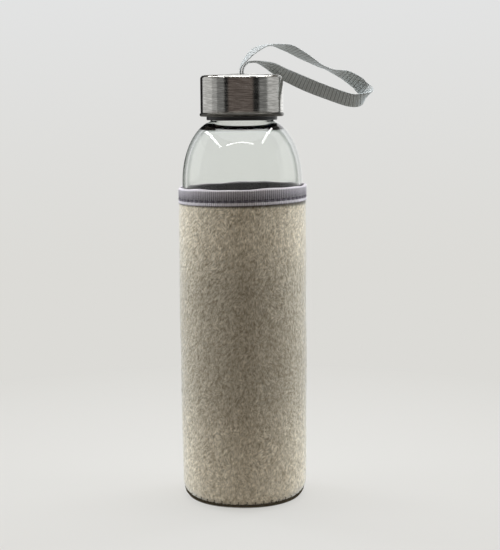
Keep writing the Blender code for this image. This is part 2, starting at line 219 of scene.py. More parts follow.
def grosgrain():
    """Piece-dyed polyester grosgrain with a soft lustre: painted shade darkens the line between the ribs and
    a painted highlight lightens each rib.
    """
    made, tree, out = new_finish("woven_polyester_grosgrain")
    place = put(tree, "ShaderNodeTexCoord").outputs["Object"]
    rib = put(tree, "ShaderNodeAttribute", attribute_name="relief")
    # Warp yarns about 0.4 mm apart show as a fine speckle over the ribs.
    yarn = put(tree, "ShaderNodeTexNoise", {"Vector": place, "Scale": 2600, "Detail": 2})
    cloud = put(tree, "ShaderNodeTexNoise", {"Vector": place, "Scale": 90, "Detail": 3})
    speck = put(tree, "ShaderNodeMath", {0: yarn.outputs["Fac"], 1: 0.35}, operation="MULTIPLY")
    level = put(tree, "ShaderNodeMath", {0: rib.outputs["Fac"], 1: speck.outputs[0]}, operation="ADD")
    high = put(tree, "ShaderNodeMapRange", {"Value": level.outputs[0], "From Min": 0.45, "From Max": 1.15})
    # Painted shade and highlight: each point's rib level mixes a dark colour into the grooves and a pale one
    # onto the rib crowns.
    shade = put(tree, "ShaderNodeMix", {
        0: high.outputs[0], 6: linear("2E302E"), 7: linear("CDD1CE"),
    }, data_type="RGBA")
    faded = put(tree, "ShaderNodeMapRange", {"Value": cloud.outputs["Fac"], "To Max": 0.4})
    tone = put(tree, "ShaderNodeMix", {
        0: faded.outputs[0], 6: shade.outputs[2], 7: linear("A3AAAC"),
    }, data_type="RGBA")
    bump = put(tree, "ShaderNodeBump", {
        "Height": yarn.outputs["Fac"], "Strength": 0.35, "Distance": 0.00012,
    })
    shader = put(tree, "ShaderNodeBsdfPrincipled", {
        "Base Color": tone.outputs[2], "Roughness": 0.4, "Normal": bump.outputs["Normal"],
        "Specular IOR Level": 0.8, "Sheen Weight": 0.35, "Sheen Roughness": 0.35,
    })
    tree.links.new(shader.outputs[0], out.inputs[0])
    return made


webbing = grosgrain()
strap_run, strap_rows = smooth_route(STRAP_ROUTE, RIB_PITCH / 6)
strap_rings, strap_ribs = ribbed_band(
    strap_run, strap_rows[:, :3], strap_rows[:, 3:], STRAP_WIDE, STRAP_THICK,
)
strap = skin("carry_strap", strap_rings, webbing, ends=True, finish_levels=strap_ribs)
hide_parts("strap_loop")
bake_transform(strap)


# ---- Knot -----------------------------------------------------------------------------------
# The webbing's two ends are tied in an overhand knot, which sits in the well of the cap's
# liner and is too big for the hole. Its tails come up through the hole as the strap.
KNOT_MIDDLE_Z = 0.2269
KNOT_POINTS = 180
KNOT_RIBS = 16
TAIL_WIDE = 0.0072          # squeezed a little where it passes the hole
TAIL_OFF = 0.00065          # from the axis to the middle of each tail


def take_in(piece, extra):
    """Makes an extra mesh part of a piece."""
    bm = bmesh.new()
    bm.from_mesh(piece.data)
    bm.from_mesh(extra.data)
    bm.to_mesh(piece.data)
    bm.free()
    bpy.data.objects.remove(extra)


turn = np.linspace(0, tau, KNOT_POINTS + 1)[:-1]
knot_line = np.stack([
    0.0014 * (np.sin(turn) + 2 * np.sin(2 * turn)),
    0.0016 * (np.cos(turn) - 2 * np.cos(2 * turn)),
    KNOT_MIDDLE_Z - 0.0013 * np.sin(3 * turn),
], 1)
knot_along = unit(np.roll(knot_line, -1, 0) - np.roll(knot_line, 1, 0))
knot_side = unit(np.cross(knot_along, knot_line - [0, 0, KNOT_MIDDLE_Z]))
knot_face = np.cross(knot_along, knot_side)
round_it = np.linspace(0, tau, 13)[:-1]
knot_rib = np.abs(np.sin(turn * KNOT_RIBS))
knot_swell = (1 + 0.06 * knot_rib)[:, None, None]
knot = skin(
    "strap_knot_tied",
    knot_line[:, None, :] + knot_swell * (
        0.0015 * np.cos(round_it)[None, :, None] * knot_side[:, None, :]
        + 0.0009 * np.sin(round_it)[None, :, None] * knot_face[:, None, :]
    ),
    webbing, run_closed=True, finish_levels=np.tile(knot_rib[:, None], (1, len(round_it))),
)
tail_z = np.linspace(0.2272, 0.2309, 22)
for side in (-1, 1):
    middle = np.stack([np.full_like(tail_z, TAIL_OFF * side), np.zeros_like(tail_z), tail_z], 1)
    edge = np.tile([0.0, -1.0, 0.0], (len(tail_z), 1))
    tail_rings, tail_ribs = ribbed_band(tail_z, middle, edge, TAIL_WIDE, STRAP_THICK)
    take_in(knot, skin("knot_tail", tail_rings, webbing, ends=True, finish_levels=tail_ribs))
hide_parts("strap_knot")
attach(knot, "strap_anchor")


# ---- Glass bottle ---------------------------------------------------------------------------
# Borosilicate tube blown in a mould, with a domed foot, a long round shoulder and a screw
# neck. It is clear with a faint green in its thickness, and fire-polished at the lip.
BOTTLE_R = 0.0325
GLASS_WALL = 0.0022
INSIDE_R = BOTTLE_R - GLASS_WALL
FOOT_Z = 0.0027
SHOULDER = (0.0126, 0.174)      # centre of the shoulder's curve
NECK_R = 0.0169
NECK_ROOT_Z = 0.2063
MOUTH_R = 0.0145
THROAT = [(MOUTH_R, 0.2046), (0.0150, 0.2032), (0.0165, 0.2022), (0.0190, 0.2018)]
LIP_Z = 0.2262
LIP_ROUND = 0.0009           # radius of the fire-polished lip
THREAD_LEAD = 0.0042
THREAD_START_Z = 0.213
NECK_THREAD_TURNS = 1.25


def arc(centre, radii, start, end, steps):
    """Points (r, z) along an ellipse from one angle to another, in degrees."""
    angles = np.radians(np.linspace(start, end, steps + 1))
    return [(centre[0] + radii[0] * cos(a), centre[1] + radii[1] * sin(a)) for a in angles]


def line(start, end, steps):
    """Points (r, z) spaced evenly between two."""
    return [tuple(np.array(start) + (np.array(end) - start) * i / steps) for i in range(1, steps)]


def turned(name, outline, finish, segments, relief=None):
    """A piece spun from a closed outline of (r, z) points. Relief shifts its r and z."""
    angle = np.linspace(0, tau, segments + 1)[:-1][:, None]
    r, z = (np.tile(column, (segments, 1)) for column in np.array(outline, float).T)
    if relief:
        r, z = relief(r, z, angle + 0 * r)
    return skin(name, np.stack([r * np.cos(angle), r * np.sin(angle), z], -1), finish, run_closed=True)


def thread_relief(z, angle, start_z, turns, tall, half):
    """Height of a right-hand screw thread that fades in and out over a twelfth of a turn."""
    rise = np.zeros_like(z)
    for lap in range(int(turns) + 1):
        spun = angle + tau * lap
        grown = np.clip(np.minimum(spun, tau * turns - spun) / (pi / 6), 0, 1)
        off = np.abs(z - start_z - THREAD_LEAD * spun / tau) / half
        rise = np.maximum(rise, tall * grown * np.clip(1.4 - 1.4 * off, 0, 1))
    return rise


def clear_glass():
    """Blown borosilicate: colourless in thin places, grey-green where it is seen edge on, partly its own
    tint and partly painted shade.
    """
    made, tree, out = new_finish("blown_borosilicate_glass")
    place = put(tree, "ShaderNodeTexCoord").outputs["Object"]
    # The mould and the blowing leave slow waves about 15 mm long in the wall.
    wave = put(tree, "ShaderNodeTexNoise", {"Vector": place, "Scale": 65, "Detail": 1})
    bump = put(tree, "ShaderNodeBump", {
        "Height": wave.outputs["Fac"], "Strength": 0.15, "Distance": 0.0004,
    })
    # Seen edge on, light passes through up to 25 mm of the wall, which dims it. The tint of the edge stands
    # in for that, and it is also painted shade: it darkens both edges alike, in place of the dark room seen
    # refracted there.
    facing = put(tree, "ShaderNodeLayerWeight", {"Blend": 0.5}).outputs["Facing"]
    edge_on = put(tree, "ShaderNodeMapRange", {
        "Value": facing, "From Min": 0.6, "From Max": 0.78,
    }, interpolation_type="SMOOTHSTEP")
    tint = put(tree, "ShaderNodeMix", {
        0: edge_on.outputs[0], 6: linear("FCFEFC"), 7: linear("9BA39E"),
    }, data_type="RGBA")
    shader = put(tree, "ShaderNodeBsdfPrincipled", {
        "Base Color": tint.outputs[2], "Roughness": 0.0, "IOR": 1.45,
        "Transmission Weight": 1.0, "Normal": bump.outputs["Normal"],
    })
    tree.links.new(shader.outputs[0], out.inputs[0])
    return made


glass_outline = [(0, 0.0062), (0.006, 0.0061), (0.011, 0.0057), (0.0155, 0.0049), (0.019, 0.0039)]
glass_outline += [(0.0215, 0.0030), (0.0235, FOOT_Z)]
glass_outline += arc((0.0265, FOOT_Z + 0.006), (0.006, 0.006), -90, 0, 14)
glass_outline += line((BOTTLE_R, 0.0087), (BOTTLE_R, SHOULDER[1]), 12)
glass_outline += arc(SHOULDER, (0.0199, 0.0335), 0, 70, 44)
glass_outline += [(NECK_R + 0.0008, NECK_ROOT_Z), (NECK_R + 0.0002, NECK_ROOT_Z + 0.0003)]
glass_outline += line((NECK_R, NECK_ROOT_Z + 0.0008), (NECK_R, LIP_Z - LIP_ROUND), 60)
glass_outline += arc((NECK_R - LIP_ROUND, LIP_Z - LIP_ROUND), (LIP_ROUND, LIP_ROUND), 0, 90, 6)
glass_outline += arc((MOUTH_R + LIP_ROUND, LIP_Z - LIP_ROUND), (LIP_ROUND, LIP_ROUND), 90, 180, 6)
glass_outline += THROAT + arc(SHOULDER, (0.0177, 0.0313), 61, 0, 40)
glass_outline += line((INSIDE_R, SHOULDER[1]), (INSIDE_R, 0.015), 12)
glass_outline += arc((0.0258, 0.0105), (0.0045, 0.0045), 0, -90, 10)
glass_outline += [(0.022, 0.0066), (0.017, 0.0075), (0.012, 0.0086), (0.006, 0.0091), (0, 0.0092)]


def neck_thread(r, z, angle):
    """The thread stands on the outside of the neck."""
    on_neck = (np.abs(r - NECK_R) < 1e-5) & (z > NECK_ROOT_Z + 0.001)
    return r + on_neck * thread_relief(z, angle, THREAD_START_Z, NECK_THREAD_TURNS, 0.0009, 0.001), z


bottle = turned("blown_glass_bottle", glass_outline, clear_glass(), 144, neck_thread)
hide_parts("glass_bottle")
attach(bottle, "bottle")


# ---- Cap shell ------------------------------------------------------------------------------
# Stainless sheet 0.5 mm thick, deep drawn, with a rolled rim and a low boss round the strap's
# hole. It was brushed while it spun, so the lines run round it.
CAP_R = 0.0223
CAP_Z = (0.2091, 0.2311)
CAP_SHEET = 0.0005
CAP_CORNER = 0.002
RIM_R = 0.0228
RIM_TALL = 0.0021
HOLE_R = 0.0046
BOSS_R = (0.0056, 0.0105)
BOSS_TALL = 0.0008

cap_top = CAP_Z[1]
shell_outline = arc((HOLE_R + 0.0003, cap_top + BOSS_TALL - 0.0003), (0.0003, 0.0003), 180, 90, 4)
shell_outline += [(BOSS_R[0], cap_top + BOSS_TALL), (0.0063, cap_top + 0.00072)]
shell_outline += [(0.0078, cap_top + 0.0004), (0.0093, cap_top + 0.0001), (BOSS_R[1], cap_top)]
shell_outline += line((BOSS_R[1], cap_top), (CAP_R - CAP_CORNER, cap_top), 8)
shell_outline += arc((CAP_R - CAP_CORNER, cap_top - CAP_CORNER), (CAP_CORNER, CAP_CORNER), 90, 0, 16)
shell_outline += line((CAP_R, cap_top - CAP_CORNER), (CAP_R, CAP_Z[0] + 0.0026), 20)
shell_outline += [(CAP_R, CAP_Z[0] + 0.0026), (CAP_R - 0.0001, CAP_Z[0] + 0.0022)]
shell_outline += arc((RIM_R - 0.0009, CAP_Z[0] + 0.001), (0.0009, 0.001), 70, -90, 12)
shell_outline += [(CAP_R - CAP_SHEET, CAP_Z[0])]
shell_outline += line((CAP_R - CAP_SHEET, CAP_Z[0]), (CAP_R - CAP_SHEET, cap_top - CAP_CORNER), 5)
shell_outline += arc((CAP_R - CAP_CORNER, cap_top - CAP_CORNER), (0.0015, 0.0015), 0, 90, 6)
shell_outline += [(0.0103, cap_top - CAP_SHEET), (0.0054, cap_top + 0.0003), (HOLE_R, cap_top + 0.0003)]


def brushed_steel(name, bright, dull, rough):
    """Stainless brushed in a lathe: fine lines round the axis, so reflections smear across them."""
    made, tree, out = new_finish(name)
    place = put(tree, "ShaderNodeTexCoord").outputs["Object"]
    parts = put(tree, "ShaderNodeSeparateXYZ", {0: place})
    flat = put(tree, "ShaderNodeCombineXYZ", {0: parts.outputs[0], 1: parts.outputs[1]})
    radius = put(tree, "ShaderNodeVectorMath", {0: flat.outputs[0]}, operation="LENGTH")
    level = put(tree, "ShaderNodeMath", {0: parts.outputs[2], 1: radius.outputs[1]}, operation="SUBTRACT")
    # Real brush lines are far finer than 0.1 mm. These lie 0.5 mm apart and run 6 mm, to show.
    across = put(tree, "ShaderNodeMath", {0: level.outputs[0], 1: 12.0}, operation="MULTIPLY")
    grain = put(tree, "ShaderNodeCombineXYZ", {
        0: parts.outputs[0], 1: parts.outputs[1], 2: across.outputs[0],
    })
    lines = put(tree, "ShaderNodeTexNoise", {
        "Vector": grain.outputs[0], "Scale": 170, "Detail": 3, "Roughness": 0.6,
    })
    cut = put(tree, "ShaderNodeMapRange", {
        "Value": lines.outputs["Fac"], "From Min": 0.3, "From Max": 0.7,
    })
    shade = put(tree, "ShaderNodeMix", {
        0: cut.outputs[0], 6: linear(dull), 7: linear(bright),
    }, data_type="RGBA")
    finish_levels = put(tree, "ShaderNodeMapRange", {
        "Value": cut.outputs[0], "To Min": rough - 0.05, "To Max": rough + 0.06,
    })
    bump = put(tree, "ShaderNodeBump", {
        "Height": lines.outputs["Fac"], "Strength": 0.5, "Distance": 0.00009,
    })
    round_axis = put(tree, "ShaderNodeTangent", direction_type="RADIAL", axis="Z")
    shader = put(tree, "ShaderNodeBsdfPrincipled", {
        "Base Color": shade.outputs[2], "Metallic": 1.0, "Roughness": finish_levels.outputs[0],
        "Anisotropic": 0.8, "Anisotropic Rotation": 0.25,
        "Normal": bump.outputs["Normal"], "Tangent": round_axis.outputs[0],
    })
    tree.links.new(shader.outputs[0], out.inputs[0])
    return made


# The rolled rim gets a second, darker and rougher steel. Its darker colour is painted shade, for the rim
# lying in shadow under the cap's side; the rougher finish is its own.
cap_steel = brushed_steel("brushed_stainless", "E9E8E3", "A9A8A3", 0.14)
cap = turned("steel_cap_shell", shell_outline, cap_steel, 160)
cap.data.materials.append(brushed_steel("rolled_steel_edge_painted_shade", "686661", "34332F", 0.35))
for face in cap.data.polygons:
    if face.center.z < CAP_Z[0] + RIM_TALL:
        face.material_index = 1
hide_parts("cap_shell")
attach(cap, "cap")


# ---- Cap liner ------------------------------------------------------------------------------
# Injection-moulded black polypropylene, pressed into the shell, with its skirt showing under
# the rim. It has the inside thread and, in its roof, the well that holds the knot.
LINER_R = 0.0215
LINER_SKIRT = (0.0191, 0.2072)      # radius and lower edge of the skirt below the rim
LINER_BORE_R = 0.0181
WELL_R = 0.008
WELL_FLOOR_Z = 0.224
LINER_THREAD_TURNS = 1.5

liner_low, liner_top = CAP_Z[0] + 0.0004, CAP_Z[1] - CAP_SHEET - 0.0003
skirt_r, skirt_low = LINER_SKIRT
liner_outline = [(skirt_r - 0.0002, skirt_low), (skirt_r, skirt_low + 0.0002), (skirt_r, skirt_low + 0.001)]
liner_outline += [(skirt_r, liner_low), (LINER_R - 0.0003, liner_low), (LINER_R, liner_low + 0.0003)]
liner_outline += [(LINER_R, liner_top - 0.0014)]
liner_outline += arc((LINER_R - 0.0013, liner_top - 0.0013), (0.0013, 0.0013), 0, 90, 5)
liner_outline += [(WELL_R + 0.0004, liner_top), (WELL_R, liner_top - 0.0004)]
liner_outline += [(WELL_R, WELL_FLOOR_Z + 0.0004), (WELL_R - 0.0004, WELL_FLOOR_Z)]
liner_outline += [(0, WELL_FLOOR_Z), (0, WELL_FLOOR_Z - 0.0012)]
liner_outline += [(WELL_R + 0.0009, WELL_FLOOR_Z - 0.0012), (WELL_R + 0.0012, WELL_FLOOR_Z - 0.0009)]
liner_outline += [(WELL_R + 0.0012, liner_top - 0.002), (LINER_BORE_R, liner_top - 0.002)]
liner_outline += line((LINER_BORE_R, liner_top - 0.002), (LINER_BORE_R, skirt_low), 66)
liner_outline += [(LINER_BORE_R, skirt_low + 0.0002), (LINER_BORE_R + 0.0002, skirt_low)]


def liner_thread(r, z, angle):
    """The cap's thread stands inward and runs under the bottle's own."""
    in_bore = np.abs(r - LINER_BORE_R) < 1e-5
    start = THREAD_START_Z - THREAD_LEAD / 2 + 0.0001
    return r - in_bore * thread_relief(z, angle, start, LINER_THREAD_TURNS, 0.00075, 0.0008), z


def moulded_black():
    """Moulded polypropylene: black, waxy, with the faint grain of a spark-eroded mould."""
    made, tree, out = new_finish("moulded_polypropylene")
    place = put(tree, "ShaderNodeTexCoord").outputs["Object"]
    grain = put(tree, "ShaderNodeTexNoise", {"Vector": place, "Scale": 3500, "Detail": 3})
    patch = put(tree, "ShaderNodeTexNoise", {"Vector": place, "Scale": 160, "Detail": 2})
    shade = put(tree, "ShaderNodeMix", {
        0: patch.outputs["Fac"], 6: linear("131314"), 7: linear("1C1C1D"),
    }, data_type="RGBA")
    bump = put(tree, "ShaderNodeBump", {
        "Height": grain.outputs["Fac"], "Strength": 0.2, "Distance": 0.00005,
    })
    shader = put(tree, "ShaderNodeBsdfPrincipled", {
        "Base Color": shade.outputs[2], "Roughness": 0.42, "IOR": 1.49, "Normal": bump.outputs["Normal"],
    })
    tree.links.new(shader.outputs[0], out.inputs[0])
    return made


liner = turned("moulded_cap_liner", liner_outline, moulded_black(), 128, liner_thread)
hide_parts("cap_liner")
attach(liner, "cap")


# ---- Gasket ---------------------------------------------------------------------------------
# A flat ring cut from translucent silicone, which the liner presses on the lip of the glass.
# The lip has left a shallow groove in its lower face.
gasket_low, gasket_high = LIP_Z + 0.0003, LIP_Z + 0.0017
gasket_outline = [(0.0140, gasket_low), (0.0147, gasket_low), (0.0151, gasket_low + 0.00012)]
gasket_outline += [(0.0163, gasket_low + 0.00012), (0.0167, gasket_low), (0.0175, gasket_low)]
gasket_outline += [(0.0177, gasket_low + 0.0002), (0.0177, gasket_high - 0.0003)]
gasket_outline += [(0.0174, gasket_high), (0.0142, gasket_high), (0.0140, gasket_high - 0.0002)]


def milky_silicone():
    """Silicone rubber: milky and a little soft to the light, with a dull skin."""
    made, tree, out = new_finish("translucent_silicone")
    place = put(tree, "ShaderNodeTexCoord").outputs["Object"]
    bloom = put(tree, "ShaderNodeTexNoise", {"Vector": place, "Scale": 300, "Detail": 3})
    shade = put(tree, "ShaderNodeMix", {
        0: bloom.outputs["Fac"], 6: linear("D6D6D0"), 7: linear("E8E8E2"),
    }, data_type="RGBA")
    shader = put(tree, "ShaderNodeBsdfPrincipled", {
        "Base Color": shade.outputs[2], "Roughness": 0.38, "IOR": 1.41,
        "Subsurface Weight": 0.3, "Subsurface Scale": 0.001,
    })
    tree.links.new(shader.outputs[0], out.inputs[0])
    return made


seal = turned("silicone_gasket", gasket_outline, milky_silicone(), 96)
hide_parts("gasket")
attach(seal, "cap")


# ---- Plush cover ----------------------------------------------------------------------------
# Knitted plush with a pile about 1.5 mm long, sewn into a tube that fits the bottle. Handling
# has combed the pile into short locks, which lean together at the front and part elsewhere.
SLEEVE_R = 0.03475
SLEEVE_PINCH = 0.00055
SLEEVE_MID_Z = 0.095
HEEL = (0.0282, 0.009)
BORE_R = 0.0337
NIP_Z = 0.1625
RIM_LIFT = 0.0007           # the sleeve's mouth stands this much higher on its right
PILE_TALL = 0.0003
FRONT = -pi / 2


def cover_radius(z):
    """Outside of the plush, which is a little fuller half way up."""
    return SLEEVE_R - SLEEVE_PINCH * ((z - SLEEVE_MID_Z) / (SLEEVE_MID_Z - HEEL[1])) ** 2


def rim_lift(r, z, angle):
    """The mouth of the sleeve isn't quite level: its right side was pulled up further."""
    near_rim = np.clip((z - 0.12) / 0.04, 0, 1)
    return z + RIM_LIFT * near_rim * near_rim * (3 - 2 * near_rim) * np.cos(angle) * r / SLEEVE_R


def soft_noise(rng, wide, tall, cells_wide, cells_tall):
    """Smooth random waves from -1 to 1 on a grid that joins up sideways."""
    knots = rng.uniform(-1, 1, (cells_tall + 1, cells_wide))
    y, x = np.linspace(0, cells_tall - 1e-6, tall), np.linspace(0, cells_wide, wide, endpoint=False)
    row, column = y.astype(int), x.astype(int)
    fy, fx = y - row, x - column
    fy, fx = (fy * fy * (3 - 2 * fy))[:, None], (fx * fx * (3 - 2 * fx))[None, :]
    after = (column + 1) % cells_wide
    lower = knots[row][:, column] * (1 - fx) + knots[row][:, after] * fx
    upper = knots[row + 1][:, column] * (1 - fx) + knots[row + 1][:, after] * fx
    return lower * (1 - fy) + upper * fy


def combed_pile(wide, tall, cell):
    """Heights from 0 to 1 of pile that lies in locks along a slowly turning direction."""
    rng = np.random.default_rng(7)
    round_it = np.linspace(-pi, pi, wide, endpoint=False)
    lean = -0.62 * np.sin(np.clip(round_it * 1.3, -pi, pi))[None, :]
    lean = lean + 0.55 * soft_noise(rng, wide, tall, 16, 12) + 0.3 * soft_noise(rng, wide, tall, 44, 32)
    specks = rng.uniform(0, 1, (tall, wide))
    row, column = np.mgrid[0:tall, 0:wide].astype(float)
    total = np.zeros((tall, wide))
    reach = round(0.0012 / cell)
    for way in (-1, 1):
        y, x = row.copy(), column.copy()
        for step in range(reach):
            at = np.clip(np.rint(y), 0, tall - 1).astype(int), np.rint(x).astype(int) % wide
            total += specks[at] * (1 - step / reach)
            y, x = y + way * np.cos(lean[at]), x + way * np.sin(lean[at])
    total = (2 * total + np.roll(total, 1, 1) + np.roll(total, -1, 1)) / 4
    total = (total - total.mean()) / total.std()
    return np.clip(0.5 + 0.28 * total, 0, 1)


def plush_finish():
    """Polyester plush: greige, with painted shade down between the locks, and bright where pile is seen side
    on.
    """
    made, tree, out = new_finish("knitted_polyester_plush")
    place = put(tree, "ShaderNodeTexCoord").outputs["Object"]
    pile = put(tree, "ShaderNodeAttribute", attribute_name="relief")
    brushed = put(tree, "ShaderNodeTexNoise", {"Vector": place, "Scale": 38, "Detail": 3})
    # Single fibres are 0.02 mm thick, so the tufts are drawn at 0.5 mm to show at all. They are
    # three times as long as wide, and a slow drift turns them one way and the other.
    drift = put(tree, "ShaderNodeTexNoise", {"Vector": place, "Scale": 55, "Detail": 1})
    shift = put(tree, "ShaderNodeVectorMath", {0: drift.outputs["Color"], 1: (0.022, 0.022, 0.0)},
                operation="MULTIPLY")
    turned_place = put(tree, "ShaderNodeVectorMath", {0: place, 1: shift.outputs[0]}, operation="ADD")
    long = put(tree, "ShaderNodeVectorMath", {0: turned_place.outputs[0], 1: (1.0, 1.0, 0.3)},
               operation="MULTIPLY")
    tuft = put(tree, "ShaderNodeTexNoise", {"Vector": long.outputs[0], "Scale": 1800, "Detail": 2})
    # Painted shade: where the pile stands low, between the locks, its colour is darker.
    deep = put(tree, "ShaderNodeMix", {
        0: pile.outputs["Fac"], 6: linear("908570"), 7: linear("CDC4B1"),
    }, data_type="RGBA")
    soft = put(tree, "ShaderNodeMapRange", {"Value": brushed.outputs["Fac"], "To Min": 0.0, "To Max": 0.5})
    tone = put(tree, "ShaderNodeMix", {
        0: soft.outputs[0], 6: deep.outputs[2], 7: linear("B0A38F"),
    }, data_type="RGBA")
    fleck = put(tree, "ShaderNodeMapRange", {
        "Value": tuft.outputs["Fac"], "From Min": 0.3, "From Max": 0.7, "To Min": 0.68, "To Max": 1.36,
    })
    # Towards both ends the colour is made lighter, up to 1.42 times at the top and 1.4 times at the bottom,
    # and the middle keeps its own colour.
    height = put(tree, "ShaderNodeSeparateXYZ", {0: place}).outputs[2]
    upper = put(tree, "ShaderNodeMapRange", {
        "Value": height, "From Min": 0.115, "From Max": 0.150, "To Min": 1.0, "To Max": 1.42,
    }, interpolation_type="SMOOTHSTEP")
    lower = put(tree, "ShaderNodeMapRange", {
        "Value": height, "From Min": 0.018, "From Max": 0.070, "To Min": 1.4, "To Max": 1.0,
    }, interpolation_type="SMOOTHSTEP")
    ends_lighter = put(tree, "ShaderNodeMath", {0: upper.outputs[0], 1: lower.outputs[0]}, operation="MULTIPLY")
    # The last millimetre under the binding is pressed flat and lies in its shade.
    binding_shade = put(tree, "ShaderNodeMapRange", {
        "Value": height, "From Min": 0.1616, "From Max": 0.1628, "To Min": 1.0, "To Max": 0.25,
    })
    free = put(tree, "ShaderNodeMath", {0: ends_lighter.outputs[0], 1: binding_shade.outputs[0]}, operation="MULTIPLY")
    shown = put(tree, "ShaderNodeMath", {0: fleck.outputs[0], 1: free.outputs[0]}, operation="MULTIPLY")
    lit = put(tree, "ShaderNodeMix", {
        0: 1.0, 6: tone.outputs[2], 7: shown.outputs[0],
    }, data_type="RGBA", blend_type="MULTIPLY")
    bump = put(tree, "ShaderNodeBump", {
        "Height": tuft.outputs["Fac"], "Strength": 0.4, "Distance": 0.0003,
    })
    shader = put(tree, "ShaderNodeBsdfPrincipled", {
        "Base Color": lit.outputs[2], "Roughness": 0.95, "Specular IOR Level": 0.15,
        "Sheen Weight": 1.0, "Sheen Roughness": 0.35, "Sheen Tint": linear("EEF2F3"),
        "Normal": bump.outputs["Normal"],
    })
    tree.links.new(shader.outputs[0], out.inputs[0])
    return made


COVER_ROUND = 340
PILE_CELL = 0.00032
heel_rows = arc(HEEL, (0.006, 0.008), -63, 0, 15)
wall_rows = [(float(cover_radius(z)), float(z)) for z in np.linspace(HEEL[1], NIP_Z, 236)[1:]]
cover_outline = heel_rows + wall_rows
outside_rows = len(cover_outline)
cover_outline += [(0.0339, 0.1633), (0.0339, 0.1706), (0.0334, 0.1706), (0.0334, NIP_Z + 0.0004)]
cover_outline += [(BORE_R, NIP_Z - 0.0003)] + line((BORE_R, NIP_Z), (BORE_R, HEEL[1]), 8)
cover_outline += arc(HEEL, (BORE_R - HEEL[0], 0.0072), 0, -55, 6)

pile_wide, pile_tall = round(tau * SLEEVE_R / PILE_CELL), round(0.172 / PILE_CELL)
pile_map = combed_pile(pile_wide, pile_tall, PILE_CELL)


def pile_height(z, angle):
    """The combed pile's height at places on the cover, from 0 to 1."""
    row = np.clip(np.rint(z / PILE_CELL), 0, pile_tall - 1).astype(int)
    column = np.rint((angle - FRONT) / tau * pile_wide + pile_wide / 2).astype(int) % pile_wide
    return pile_map[row, column]


def plush_relief(r, z, angle):
    """The pile stands on the outside only, and is pressed down at the seams."""
    outside = np.arange(r.shape[1])[None, :] < outside_rows
    free = np.clip((z - 0.0035) / 0.004, 0, 1) * np.clip((NIP_Z - z) / 0.0025, 0.25, 1)
    lumpy = 0.00025 * np.sin(3 * angle + 1.0 + 40 * z) * np.sin(70 * z) * np.clip((0.165 - z) / 0.02, 0, 1)
    lifted = r + outside * (PILE_TALL * (pile_height(z, angle) - 0.6) * free + lumpy)
    return lifted, rim_lift(r, z, angle)


def store_levels(piece, level):
    """Gives each point of a made piece a number for its finish to read."""
    relief = piece.data.attributes.new("relief", "FLOAT", "POINT")
    relief.data.foreach_set("value", level.astype(np.float32))


cover = turned("plush_cover", cover_outline, plush_finish(), COVER_ROUND, plush_relief)
points = np.array([v.co for v in cover.data.vertices])
pile_now = pile_height(points[:, 2], np.arctan2(points[:, 1], points[:, 0]))
store_levels(cover, pile_now)
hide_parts("sleeve_cover")
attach(cover, "sleeve")


# ---- Foam lining ----------------------------------------------------------------------------
# Black closed-cell foam, 0.6 mm thick, cut as one sheet. It wraps the bottle inside the plush
# and its two edges are butted at the seam behind.
LINING_R = (0.0328, 0.0334)
SLIT = radians(2.35)
lining_profile = arc(HEEL, (LINING_R[1] - HEEL[0], 0.0069), -45, 0, 6)
lining_profile += [(LINING_R[1], NIP_Z - 0.0003), (LINING_R[1] - 0.0003, NIP_Z + 0.0003)]
lining_profile += [(LINING_R[1] - 0.0003, 0.1666), (LINING_R[0], 0.1666)]
lining_profile += arc(HEEL, (LINING_R[0] - HEEL[0], 0.0063), 0, -45, 6)


def foam_finish(name, dark, pale):
    """Closed-cell foam with a knitted face: near black, dull, with a fine pebble."""
    made, tree, out = new_finish(name)
    place = put(tree, "ShaderNodeTexCoord").outputs["Object"]
    # The cells are 0.4 mm across.
    cells = put(tree, "ShaderNodeTexVoronoi", {"Vector": place, "Scale": 2500})
    shade = put(tree, "ShaderNodeMix", {
        0: cells.outputs["Distance"], 6: linear(pale), 7: linear(dark),
    }, data_type="RGBA")
    bump = put(tree, "ShaderNodeBump", {
        "Height": cells.outputs["Distance"], "Strength": 0.4, "Distance": 0.0001,
    }, invert=True)
    shader = put(tree, "ShaderNodeBsdfPrincipled", {
        "Base Color": shade.outputs[2], "Roughness": 0.9, "Normal": bump.outputs["Normal"],
        "Sheen Weight": 0.15, "Sheen Roughness": 0.5,
    })
    tree.links.new(shader.outputs[0], out.inputs[0])
    return made


lining_rings = []
for angle in np.linspace(pi / 2 + SLIT, pi / 2 + tau - SLIT, 121):
    lining_rings.append([(r * cos(angle), r * sin(angle), z) for r, z in lining_profile])
black_foam = foam_finish("closed_cell_foam", "131314", "232325")
lining = skin("foam_lining", lining_rings, black_foam, ends=True)
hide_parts("sleeve_lining")
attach(lining, "sleeve")


# ---- Seam stitching -------------------------------------------------------------------------
# Zigzag thread, spun from polyester, that holds the lining's butted edges together. It runs up
# the back from the heel to the binding, 2.2 mm to a zigzag.
SEAM_R = 0.0331
ZIGZAG_LONG = 0.0022
ZIGZAG_OUT = 0.00078


def sewing_thread(name, path, radius, finish, closed=False, sides=6):
    """A round thread along a path, a little swollen where its plies cross."""
    path = np.asarray(path, float)
    along = np.gradient(path, axis=0)
    if closed:
        along = np.roll(path, -1, 0) - np.roll(path, 1, 0)
    along = unit(along)
    side = unit(np.cross(along, [0.0, 0.0, 1.0]) + 1e-9)
    up = np.cross(side, along)
    around = np.linspace(0, tau, sides + 1)[:-1]
    thick = radius * (1 + 0.12 * np.sin(np.arange(len(path)) * 1.9))[:, None, None]
    rings = path[:, None, :] + thick * (
        np.cos(around)[None, :, None] * side[:, None, :] + np.sin(around)[None, :, None] * up[:, None, :]
    )
    return skin(name, rings, finish, run_closed=closed, ends=not closed)


